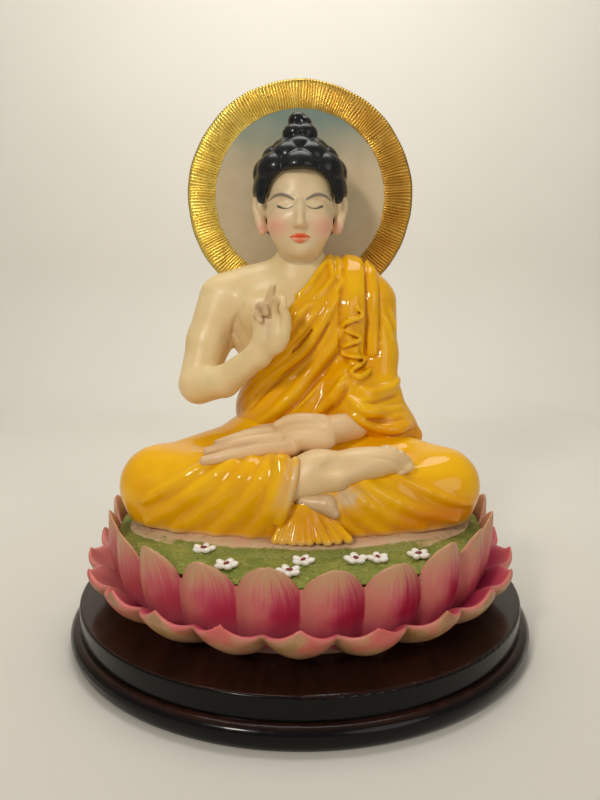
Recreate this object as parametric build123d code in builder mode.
"""Seated Buddha statuette: painted resin figure on a lotus, round halo, turned wooden stand.

Millimetres. The origin is the middle of the stand's underside, +Z is up and the figure looks along -Y.
"""

import os
from math import asin, cos, pi, radians, sin

from build123d import *

os.makedirs("parts", exist_ok=True)

# ---- Driving dimensions --------------------------------------------------------------------------
STAND_RADIUS = 60.0  # widest point of the stand's rounded lip
STAND_TOP_RADIUS = 57.6
LIP_HEIGHT = 5.6  # top of the lower plate
LIP_ROUND = 2.2
STAND_HEIGHT = 11.0  # top of the upper plate, where the lotus rests
FELT_RADIUS = 52.0
FELT_THICKNESS = 1.0
FELT_PROUD = 0.4  # the felt stands this far below the wood

PETALS = 22  # in each of the two rows
MOUND_HEIGHT = 30.0  # level of the grass
MOUND_RADIUS = 44.2
SEAT_TOP = 31.2  # where the robe's underside starts

HALO_CENTRE_HEIGHT = 115.1
HALO_RADIUS = 31.7
HALO_DISC_RADIUS = 23.9
HALO_WINDOW_RADIUS = 23.1  # the gold rim overlaps the disc by the difference
HALO_FRONT = 19.5  # how far behind the stand's axis the rim's front face is
HALO_THICKNESS = 3.2
STEM_HALF_WIDTH = 3.5
STEM_THICKNESS = 2.5
STEM_FOOT = 62.0
STEM_CLEARANCE = 0.1

PIN_RADIUS = 1.2  # wires that hold the separately cast head and arm
DOWEL_RADIUS = 2.0
DOWEL_SPREAD = 22.0


STANDING = (Align.CENTER, Align.CENTER, Align.MIN)  # a cylinder or cone placed by the middle of its foot


# ---- Helpers -------------------------------------------------------------------------------------
def limb(start, start_radius, end, end_radius):
    """A tapered rod with a round end at each centre, as a mannequin's limb."""
    start, end = Vector(*start), Vector(*end)
    along = end - start
    taper = asin((start_radius - end_radius) / along.length)
    square = Vector(0, 0, 1) if abs(along.X) + abs(along.Y) > 0.01 else Vector(1, 0, 0)
    side = Plane(origin=start, x_dir=along, z_dir=along.cross(square))
    half = (pi / 2 + taper) / 2
    with BuildPart() as rod:
        with BuildSketch(side):
            with BuildLine():
                tail = (-start_radius, 0)
                first = (start_radius * sin(taper), start_radius * cos(taper))
                last = (along.length + end_radius * sin(taper), end_radius * cos(taper))
                tip = (along.length + end_radius, 0)
                ThreePointArc(tail, (-start_radius * cos(half), start_radius * sin(half)), first)
                Line(first, last)
                turn = (pi / 2 - taper) / 2
                middle = (along.length + end_radius * cos(turn), end_radius * sin(turn))
                ThreePointArc(last, middle, tip)
                Line(tip, tail)
            make_face()
        revolve(axis=Axis(start, along))
    return rod.part


def stack(sections):
    """A loft through level ellipses, each given as height, centre y, half width and half depth."""
    with BuildPart() as body:
        for height, centre_y, half_width, half_depth in sections:
            with BuildSketch(Plane((0, centre_y, height))):
                Ellipse(half_width, half_depth)
        loft()
    return body.part


def mirrored(point):
    return (-point[0], point[1], point[2])


def grown(sections, margin):
    """The same ellipses with their half widths and depths made larger."""
    return [(z, y, width + margin, depth + margin) for z, y, width, depth in sections]


# ---- Stand ---------------------------------------------------------------------------------------
SCREW_CIRCLE = 36.0
SCREW_RADIUS = 1.4
SCREW_CLEARANCE_RADIUS = 1.75
SCREW_HEAD_RADIUS = 3.2
SCREW_TIP = 9.6
DOWEL_FOOT = 6.6
DOWEL_TOP = 16.0
SOCKET_CLEARANCE = 0.15

with BuildPart() as felt_pad:
    Cylinder(FELT_RADIUS, FELT_THICKNESS, align=STANDING)
felt_pad.part.label = "felt_pad"

with BuildPart() as stand_screws:
    with PolarLocations(SCREW_CIRCLE, 3, start_angle=90):
        with Locations((0, 0, FELT_THICKNESS)):
            Cylinder(SCREW_RADIUS, SCREW_TIP - FELT_THICKNESS, align=STANDING)
            Cone(
                SCREW_HEAD_RADIUS,
                SCREW_RADIUS,
                SCREW_HEAD_RADIUS - SCREW_RADIUS,
                align=STANDING,
            )
stand_screws.part.label = "stand_screws"

with BuildPart() as lower_plate:
    with BuildSketch(Plane.XZ):
        with BuildLine():
            widest = (STAND_RADIUS, LIP_HEIGHT - LIP_ROUND)
            under_edge = (STAND_RADIUS - 1.2, FELT_PROUD)
            Line((0, FELT_PROUD), under_edge)
            TangentArc(widest, under_edge, tangent=(0, -1))
            JernArc(widest, tangent=(0, 1), radius=LIP_ROUND, arc_size=90)
            Line((STAND_RADIUS - LIP_ROUND, LIP_HEIGHT), (0, LIP_HEIGHT))
            Line((0, LIP_HEIGHT), (0, FELT_PROUD))
        make_face()
    revolve(axis=Axis.Z)
    with BuildSketch(Plane.XY.offset(FELT_PROUD)):
        Circle(FELT_RADIUS + 0.2)
    extrude(amount=FELT_THICKNESS - FELT_PROUD, mode=Mode.SUBTRACT)
    with PolarLocations(SCREW_CIRCLE, 3, start_angle=90):
        with Locations((0, 0, FELT_THICKNESS)):
            Cylinder(
                SCREW_CLEARANCE_RADIUS,
                LIP_HEIGHT,
                align=STANDING,
                mode=Mode.SUBTRACT,
            )
            Cone(
                SCREW_HEAD_RADIUS + 0.1,
                SCREW_RADIUS + 0.1,
                SCREW_HEAD_RADIUS - SCREW_RADIUS,
                align=STANDING,
                mode=Mode.SUBTRACT,
            )
lower_plate.part.label = "stand_lower_plate"

with BuildPart() as upper_plate:
    with BuildSketch(Plane.XY.offset(LIP_HEIGHT)):
        Circle(STAND_TOP_RADIUS)
    extrude(amount=STAND_HEIGHT - LIP_HEIGHT)
    fillet(upper_plate.faces().sort_by(Axis.Z)[-1].edges(), radius=0.7)
    with PolarLocations(SCREW_CIRCLE, 3, start_angle=90):
        with Locations((0, 0, LIP_HEIGHT)):
            Cylinder(
                SCREW_RADIUS,
                SCREW_TIP - LIP_HEIGHT,
                align=STANDING,
                mode=Mode.SUBTRACT,
            )
    with Locations((DOWEL_SPREAD, 0, DOWEL_FOOT), (-DOWEL_SPREAD, 0, DOWEL_FOOT)):
        Cylinder(
            DOWEL_RADIUS,
            STAND_HEIGHT - DOWEL_FOOT,
            align=STANDING,
            mode=Mode.SUBTRACT,
        )
upper_plate.part.label = "stand_upper_plate"

with BuildPart() as dowels:
    with Locations((DOWEL_SPREAD, 0, DOWEL_FOOT), (-DOWEL_SPREAD, 0, DOWEL_FOOT)):
        Cylinder(DOWEL_RADIUS, DOWEL_TOP - DOWEL_FOOT, align=STANDING)
    chamfer(dowels.faces().filter_by(Axis.Z).group_by(Axis.Z)[-1].edges(), length=0.5)
dowels.part.label = "locating_dowels"

# ---- Lotus ---------------------------------------------------------------------------------------
LOTUS_TOP = 28.8

with BuildPart() as lotus_body:
    with BuildSketch(Plane.XZ):
        with BuildLine():
            Line((0, STAND_HEIGHT), (41.4, STAND_HEIGHT))
            Spline((41.4, STAND_HEIGHT), (43.2, 15.5), (44.0, 21.0), (44.6, LOTUS_TOP))
            Line((44.6, LOTUS_TOP), (0, LOTUS_TOP))
            Line((0, LOTUS_TOP), (0, STAND_HEIGHT))
        make_face()
    revolve(axis=Axis.Z)
    with Locations((DOWEL_SPREAD, 0, STAND_HEIGHT), (-DOWEL_SPREAD, 0, STAND_HEIGHT)):
        Cylinder(
            DOWEL_RADIUS + SOCKET_CLEARANCE,
            DOWEL_TOP - STAND_HEIGHT + 0.4,
            align=STANDING,
            mode=Mode.SUBTRACT,
        )
lotus_body.part.label = "lotus_body"

# One upright petal on the +X side: a slice of a leaning ring, cut to a petal's outline.
with BuildPart() as upper_petal:
    with BuildSketch(Plane.XZ):
        with BuildLine():
            Spline((43.0, 16.2), (46.0, 24.0), (49.2, 34.6))
            ThreePointArc((49.2, 34.6), (50.1, 35.1), (50.6, 34.4))
            Spline((50.6, 34.4), (49.6, 25.0), (45.8, 16.2))
            Line((45.8, 16.2), (43.0, 16.2))
        make_face()
    revolve(axis=Axis.Z)
    with BuildSketch(Plane.YZ):
        with BuildLine():
            Line((-6.0, 16.0), (6.0, 16.0))
            ThreePointArc((6.0, 16.0), (6.55, 24.0), (5.8, 30.0))
            ThreePointArc((5.8, 30.0), (3.5, 33.8), (0, 35.2))
            ThreePointArc((0, 35.2), (-3.5, 33.8), (-5.8, 30.0))
            ThreePointArc((-5.8, 30.0), (-6.55, 24.0), (-6.0, 16.0))
        make_face()
    extrude(amount=STAND_RADIUS, mode=Mode.INTERSECT)
    add(lotus_body.part, mode=Mode.SUBTRACT)

with BuildPart() as upper_petals:
    with PolarLocations(0, PETALS, start_angle=360 / PETALS / 2 - 90):
        add(upper_petal.part)
upper_petals.part.label = "upper_petals"

# One spreading petal on the +X side: a slice of a shallow cup, cut to a petal's outline seen from above.
with BuildPart() as lower_petal:
    with BuildSketch(Plane.XZ):
        with BuildLine():
            Spline((42.0, 11.3), (50.6, 14.6), (55.9, 22.4))
            ThreePointArc((55.9, 22.4), (55.8, 23.3), (54.9, 23.4))
            Spline((54.9, 23.4), (49.2, 17.4), (42.0, 14.6))
            Line((42.0, 14.6), (42.0, 11.3))
        make_face()
    revolve(axis=Axis.Z)
    with BuildSketch(Plane.XY):
        with BuildLine():
            Line((41.0, 5.6), (41.0, -5.6))
            ThreePointArc((41.0, -5.6), (47.0, -6.6), (52.4, -6.2))
            ThreePointArc((52.4, -6.2), (55.2, -3.8), (56.2, 0))
            ThreePointArc((56.2, 0), (55.2, 3.8), (52.4, 6.2))
            ThreePointArc((52.4, 6.2), (47.0, 6.6), (41.0, 5.6))
        make_face()
    extrude(amount=MOUND_HEIGHT, mode=Mode.INTERSECT)
    add(lotus_body.part, mode=Mode.SUBTRACT)

with BuildPart() as lower_petals:
    with PolarLocations(0, PETALS, start_angle=-90):
        add(lower_petal.part)
lower_petals.part.label = "lower_petals"

with BuildPart() as grass_mound:
    with BuildSketch(Plane.XZ):
        with BuildLine():
            Line((0, LOTUS_TOP), (MOUND_RADIUS, LOTUS_TOP))
            Line((MOUND_RADIUS, LOTUS_TOP), (MOUND_RADIUS, LOTUS_TOP + 0.5))
            Spline((MOUND_RADIUS, LOTUS_TOP + 0.5), (40.5, MOUND_HEIGHT - 0.2), (36.0, MOUND_HEIGHT))
            Line((36.0, MOUND_HEIGHT), (0, MOUND_HEIGHT))
            Line((0, MOUND_HEIGHT), (0, LOTUS_TOP))
        make_face()
    revolve(axis=Axis.Z)
grass_mound.part.label = "grass_mound"

# Small white flowers in front of the figure, as angle from the front, distance from the axis.
FLOWERS = [(-37, 36.0), (-22, 42.2), (-3, 42.6), (1, 36.2), (19, 37.6), (26, 39.0), (39, 42.2)]
FLOWER_THICKNESS = 0.9
FLOWER_FOOT = 29.4


def flower_places():
    for angle, distance in FLOWERS:
        turned = radians(angle - 90)
        yield (distance * cos(turned), distance * sin(turned), FLOWER_FOOT)


with BuildPart() as meadow_flowers:
    for place in flower_places():
        with BuildSketch(Plane(place)):
            Circle(1.0)
            with PolarLocations(1.25, 5):
                Circle(0.85)
        extrude(amount=FLOWER_THICKNESS + 0.5)
    add(grass_mound.part, mode=Mode.SUBTRACT)
meadow_flowers.part.label = "meadow_flowers"

with BuildPart() as flower_eyes:
    with Locations(*[Vector(*place) + Vector(0, 0, FLOWER_THICKNESS + 0.5) for place in flower_places()]):
        Sphere(0.55)
    add(meadow_flowers.part, mode=Mode.SUBTRACT)
flower_eyes.part.label = "flower_eyes"

# ---- Figure: trunk and legs ----------------------------------------------------------------------
TRUNK = [
    (46.0, 8.5, 19.0, 12.5),
    (54.0, 8.0, 17.0, 11.4),
    (66.0, 8.0, 18.0, 12.0),
    (78.0, 7.4, 20.2, 11.6),
    (88.0, 7.0, 20.8, 9.2),
    (93.0, 7.2, 15.0, 7.6),
    (96.2, 7.0, 7.4, 6.6),
    (103.0, 6.4, 5.4, 5.4),
]
ROBE_THICKNESS = 1.6
KNEE = (35.8, -9.0, 39.8)
HIP = (10.0, 5.0, 43.0)
ANKLE = (5.0, -20.6, 38.8)
SHOULDER = (-20.4, 8.0, 86.0)
ELBOW = (-26.6, 0.5, 64.0)
WRIST = (-9.6, -9.8, 73.4)

torso_shape = stack(TRUNK)
arm_shape = limb(SHOULDER, 7.4, ELBOW, 5.6)
forearm_shape = limb((-26.4, 0.2, 63.8), 5.4, WRIST, 3.5)

with BuildPart() as seat_cloth:
    with BuildSketch(Plane((0, 0.5, MOUND_HEIGHT))):
        Ellipse(41.5, 29.5)
    extrude(amount=SEAT_TOP - MOUND_HEIGHT)
    add(grass_mound.part, mode=Mode.SUBTRACT)
seat_cloth.part.label = "seat_cloth"

arm_pin_shape = limb((-26.0, 7.0, 84.0), PIN_RADIUS, (-12.0, 7.0, 86.0), PIN_RADIUS - 0.01)
neck_pin_shape = limb((0, 6.2, 96.0), PIN_RADIUS, (0, 5.0, 110.0), PIN_RADIUS - 0.01)

with BuildPart() as torso:
    add(torso_shape)
    add(arm_pin_shape, mode=Mode.SUBTRACT)
    add(neck_pin_shape, mode=Mode.SUBTRACT)
torso.part.label = "torso"

HIPS = [
    (SEAT_TOP, 5.0, 27.0, 20.0),
    (42.0, 6.5, 26.0, 18.5),
    (50.0, 8.0, 21.0, 15.0),
    (55.0, 8.0, 17.6, 12.0),
]
leg_shapes = [
    stack(HIPS),
    limb(HIP, 12.0, KNEE, 9.6),
    limb(mirrored(HIP), 12.0, mirrored(KNEE), 9.6),
    limb((35.2, -9.6, 39.6), 9.2, ANKLE, 7.6),
    limb((-35.2, -9.6, 39.6), 9.2, mirrored(ANKLE), 7.7),
]
with BuildPart() as leg_robe:
    for leg_shape in leg_shapes:
        add(leg_shape)
    split(bisect_by=Plane.XY.offset(SEAT_TOP), keep=Keep.TOP)
    add(torso_shape, mode=Mode.SUBTRACT)
leg_robe.part.label = "leg_robe"

# ---- Figure: robe over the trunk -----------------------------------------------------------------
NECKLINE_TOP = (8.0, 0, 99.0)
NECKLINE_SLOPE = 50  # degrees, falling from the left shoulder to under the right arm
neckline = Plane(
    origin=NECKLINE_TOP,
    x_dir=(0, 1, 0),
    z_dir=(-sin(radians(NECKLINE_SLOPE)), 0, cos(radians(NECKLINE_SLOPE))),
)

with BuildPart() as upper_robe:
    add(stack(grown(TRUNK[:-1], ROBE_THICKNESS)))
    split(bisect_by=neckline, keep=Keep.BOTTOM)
    robe_mass = upper_robe.part
    for leg_shape in leg_shapes:
        add(leg_shape, mode=Mode.SUBTRACT)
    add(arm_shape, mode=Mode.SUBTRACT)
    add(torso_shape, mode=Mode.SUBTRACT)
upper_robe.part.label = "upper_robe"

with BuildPart() as left_sleeve:
    add(limb((20.0, 8.0, 85.6), 7.2, (22.4, 4.0, 63.4), 7.0))
    add(limb((22.3, 3.8, 63.2), 6.9, (14.0, -4.6, 57.0), 5.6))
    sleeve_mass = left_sleeve.part
    for leg_shape in leg_shapes:
        add(leg_shape, mode=Mode.SUBTRACT)
    add(robe_mass, mode=Mode.SUBTRACT)
    add(torso_shape, mode=Mode.SUBTRACT)
left_sleeve.part.label = "left_sleeve"

SASH_BANDS = [(11.4, 14.6, 68.6), (14.6, 17.6, 71.0), (17.6, 20.6, 73.6)]  # left, right and lower end
SASH_FRONT = [(-6.0, 84.0), (-3.4, 91.0), (0.6, 97.0)]  # how it leans back over the shoulder, as y and height
with BuildPart() as shoulder_sash:
    for left, right, foot in SASH_BANDS:
        with BuildSketch(Plane.YZ.offset(left)):
            with BuildLine():
                Polyline((8, foot), (-6.2, foot), (-6.6, foot + 6), *SASH_FRONT, (8, 97), (8, foot))
            make_face()
        extrude(amount=right - left)
    add(sleeve_mass, mode=Mode.SUBTRACT)
    add(robe_mass, mode=Mode.SUBTRACT)
    add(torso_shape, mode=Mode.SUBTRACT)
shoulder_sash.part.label = "shoulder_sash"

# ---- Figure: arm, hands and feet -----------------------------------------------------------------
with BuildPart() as right_arm:
    add(arm_shape)
    add(forearm_shape)
    add(torso_shape, mode=Mode.SUBTRACT)
    add(arm_pin_shape, mode=Mode.SUBTRACT)
right_arm.part.label = "right_arm"

PALM_FOOT = (-8.8, -10.8, 75.0)
PALM_TOP = (-7.4, -11.6, 82.0)
RAISED_FINGERS = [  # root, tip, root radius
    ((-9.6, -10.6, 82.6), (-10.2, -10.6, 86.2), 1.15),
    ((-8.2, -11.2, 83.6), (-8.4, -11.4, 88.2), 1.25),
    ((-6.4, -11.8, 84.0), (-6.2, -12.2, 89.4), 1.3),
    ((-4.8, -12.4, 83.2), (-3.0, -14.0, 85.4), 1.3),
    ((-4.6, -12.6, 79.0), (-2.8, -14.4, 83.0), 1.4),
]
with BuildPart() as right_hand:
    add(limb(PALM_FOOT, 3.5, PALM_TOP, 3.3))
    for root, tip, root_radius in RAISED_FINGERS:
        add(limb(root, root_radius, tip, 0.8 * root_radius))
    add(forearm_shape, mode=Mode.SUBTRACT)
right_hand.part.label = "right_hand"

with BuildPart() as right_foot:
    add(limb((0.5, -22.6, 45.6), 5.2, (20.0, -19.4, 47.4), 3.3))
    for toe in range(5):
        root = (21.0, -21.4 + 1.1 * toe, 46.6 + 0.5 * toe)
        add(limb(root, 1.3, (24.6 - 0.3 * toe, -21.0 + 1.1 * toe, 47.0 + 0.5 * toe), 1.05))
    foot_mass = right_foot.part
    for leg_shape in leg_shapes:
        add(leg_shape, mode=Mode.SUBTRACT)
right_foot.part.label = "right_foot"

with BuildPart() as left_foot:
    add(limb((2.0, -25.2, 41.0), 3.6, (8.6, -27.2, 40.2), 2.4))
    under_foot_mass = left_foot.part
    for leg_shape in leg_shapes:
        add(leg_shape, mode=Mode.SUBTRACT)
    add(foot_mass, mode=Mode.SUBTRACT)
left_foot.part.label = "left_foot"

with BuildPart() as left_hand:
    add(limb((13.0, -6.4, 55.6), 3.6, (1.0, -11.6, 53.0), 4.6))
    for finger in range(4):
        y = -16.4 + 2.7 * finger
        add(limb((-4.0, y + 0.6, 51.6), 1.9, (-20.0 + 1.2 * abs(finger - 1), y - 1.0, 49.8), 1.4))
    add(limb((1.0, -13.4, 54.6), 2.0, (-6.4, -13.8, 56.2), 1.4))
    for leg_shape in leg_shapes:
        add(leg_shape, mode=Mode.SUBTRACT)
    add(robe_mass, mode=Mode.SUBTRACT)
    add(sleeve_mass, mode=Mode.SUBTRACT)
    add(foot_mass, mode=Mode.SUBTRACT)
    add(torso_shape, mode=Mode.SUBTRACT)
left_hand.part.label = "left_hand"

with BuildPart() as front_fan:
    with BuildSketch(Plane((0.6, -24.5, 41.5))):
        Ellipse(3.0, 3.6)
    with BuildSketch(Plane((1.8, -25.5, SEAT_TOP))):
        Ellipse(9.6, 7.6)
    loft()
    split(bisect_by=Plane.XZ.offset(25), keep=Keep.TOP)
    for leg_shape in leg_shapes:
        add(leg_shape, mode=Mode.SUBTRACT)
    add(under_foot_mass, mode=Mode.SUBTRACT)
front_fan.part.label = "front_fan"

# ---- Head ----------------------------------------------------------------------------------------
HEAD = [
    (96.2, 0.0, 2.6, 2.4),
    (98.6, 0.9, 5.4, 5.2),
    (102.6, 2.5, 7.5, 7.5),
    (108.0, 3.8, 8.7, 8.9),
    (113.0, 4.6, 9.1, 9.5),
    (119.0, 5.2, 8.8, 9.2),
    (124.0, 5.4, 6.2, 6.8),
    (126.0, 5.4, 3.0, 3.4),
]
HAIR = [
    (102.0, 8.2, 8.2, 6.4),
    (107.0, 7.0, 10.4, 8.8),
    (113.0, 6.0, 11.8, 10.4),
    (118.5, 5.6, 12.0, 10.8),
    (123.5, 5.6, 9.2, 8.8),
    (127.0, 5.5, 5.6, 5.6),
]
head_shape = stack(HEAD)
with BuildPart() as head:
    add(head_shape)
    add(limb((0, -3.9, 110.0), 0.9, (0, -5.3, 104.9), 1.5))
    add(torso_shape, mode=Mode.SUBTRACT)
    add(neck_pin_shape, mode=Mode.SUBTRACT)
head.part.label = "head"

hairline = Plane(origin=(0, -5.0, 118.4), x_dir=(1, 0, 0), z_dir=(0, sin(radians(46)), cos(radians(46))))
with BuildPart() as hair_cap:
    add(stack(HAIR))
    split(bisect_by=hairline, keep=Keep.TOP)
    hair_mass = hair_cap.part
    add(head_shape, mode=Mode.SUBTRACT)
    add(torso_shape, mode=Mode.SUBTRACT)
hair_cap.part.label = "hair_cap"

BUN_TIERS = [(6.6, 125.6, 3.2), (4.6, 129.0, 2.7), (2.7, 132.1, 2.3)]  # radius, height and half height
with BuildPart() as hair_bun:
    for tier_radius, tier_height, half_height in BUN_TIERS:
        tube = min(half_height, tier_radius - 0.4)
        with BuildSketch(Plane((0, 5.5, 0), x_dir=(1, 0, 0), z_dir=(0, -1, 0))):
            with BuildLine():
                low, high = tier_height - tube, tier_height + tube
                rim = tier_radius - tube
                Line((0, low), (rim, low))
                ThreePointArc((rim, low), (tier_radius, tier_height), (rim, high))
                Line((rim, high), (0, high))
                Line((0, high), (0, low))
            make_face()
        revolve(axis=Axis((0, 5.5, 0), (0, 0, 1)))
    add(hair_mass, mode=Mode.SUBTRACT)
    add(head_shape, mode=Mode.SUBTRACT)
hair_bun.part.label = "hair_bun"

with BuildPart() as ears:
    for side in (-1, 1):
        add(limb((side * 10.2, 4.6, 111.6), 1.9, (side * 8.9, 4.2, 104.8), 1.4))
    add(hair_mass, mode=Mode.SUBTRACT)
    add(head_shape, mode=Mode.SUBTRACT)
ears.part.label = "ears"

with BuildPart() as arm_pin:
    add(arm_pin_shape)
arm_pin.part.label = "arm_pin"

with BuildPart() as neck_pin:
    add(neck_pin_shape)
neck_pin.part.label = "neck_pin"

# ---- Halo ----------------------------------------------------------------------------------------
HALO_BACK = HALO_FRONT + HALO_THICKNESS
DISC_FRONT = HALO_FRONT + 0.6
STEM_BACK = HALO_BACK + STEM_THICKNESS
halo_axis = (0, HALO_FRONT, HALO_CENTRE_HEIGHT)
halo_face = Plane(origin=halo_axis, x_dir=(1, 0, 0), z_dir=(0, -1, 0))  # faces forward, -Y

with BuildPart() as halo_rim:
    with BuildSketch(halo_face):
        Circle(HALO_RADIUS)
        Circle(HALO_WINDOW_RADIUS, mode=Mode.SUBTRACT)
    extrude(amount=-HALO_THICKNESS)
    fillet(halo_rim.edges().filter_by(GeomType.CIRCLE).group_by(SortBy.RADIUS)[-1], radius=0.6)
    with BuildSketch(halo_face.offset(HALO_FRONT - DISC_FRONT)):
        Circle(HALO_DISC_RADIUS)
    extrude(amount=-HALO_THICKNESS, mode=Mode.SUBTRACT)
halo_rim.part.label = "halo_rim"

with BuildPart() as halo_disc:
    with BuildSketch(halo_face.offset(HALO_FRONT - DISC_FRONT)):
        Circle(HALO_DISC_RADIUS)
    extrude(amount=DISC_FRONT - HALO_BACK)
halo_disc.part.label = "halo_disc"

STEM_TOP = HALO_CENTRE_HEIGHT + 14.0
with BuildPart() as halo_stem:
    with BuildSketch(Plane.XZ.offset(-HALO_BACK)):
        with BuildLine():
            Polyline(
                (STEM_HALF_WIDTH, STEM_TOP),
                (STEM_HALF_WIDTH, STEM_FOOT),
                (-STEM_HALF_WIDTH, STEM_FOOT),
                (-STEM_HALF_WIDTH, STEM_TOP),
            )
            ThreePointArc(
                (-STEM_HALF_WIDTH, STEM_TOP), (0, STEM_TOP + STEM_HALF_WIDTH), (STEM_HALF_WIDTH, STEM_TOP)
            )
        make_face()
    extrude(amount=-STEM_THICKNESS)
    chamfer(halo_stem.faces().sort_by(Axis.Z)[0].edges(), length=0.4)
halo_stem.part.label = "halo_stem"

SOCKET_TOP = 77.0
SOCKET_WALL = 2.2
with BuildPart() as halo_socket:
    with BuildSketch(Plane.XY.offset(STEM_FOOT - 2.0)):
        with Locations((0, (STEM_BACK + SOCKET_WALL + 12.0) / 2)):
            RectangleRounded(2 * (STEM_HALF_WIDTH + SOCKET_WALL), STEM_BACK + SOCKET_WALL - 12.0, 1.5)
    extrude(amount=SOCKET_TOP - STEM_FOOT + 2.0)
    with BuildSketch(Plane.XY.offset(STEM_FOOT)):
        with Locations((0, (HALO_BACK + STEM_BACK) / 2)):
            Rectangle(2 * (STEM_HALF_WIDTH + STEM_CLEARANCE), STEM_THICKNESS + 2 * STEM_CLEARANCE)
    extrude(amount=SOCKET_TOP, mode=Mode.SUBTRACT)
    add(robe_mass, mode=Mode.SUBTRACT)
    add(torso_shape, mode=Mode.SUBTRACT)
halo_socket.part.label = "halo_socket"

# ---- Files ---------------------------------------------------------------------------------------
PIECES = [
    felt_pad,
    stand_screws,
    lower_plate,
    upper_plate,
    dowels,
    lotus_body,
    upper_petals,
    lower_petals,
    grass_mound,
    meadow_flowers,
    flower_eyes,
    seat_cloth,
    torso,
    leg_robe,
    upper_robe,
    left_sleeve,
    shoulder_sash,
    right_arm,
    right_hand,
    left_hand,
    right_foot,
    left_foot,
    front_fan,
    head,
    hair_cap,
    hair_bun,
    ears,
    arm_pin,
    neck_pin,
    halo_rim,
    halo_disc,
    halo_stem,
    halo_socket,
]
for piece in PIECES:
    export_step(piece.part, f"parts/{piece.part.label}.step")
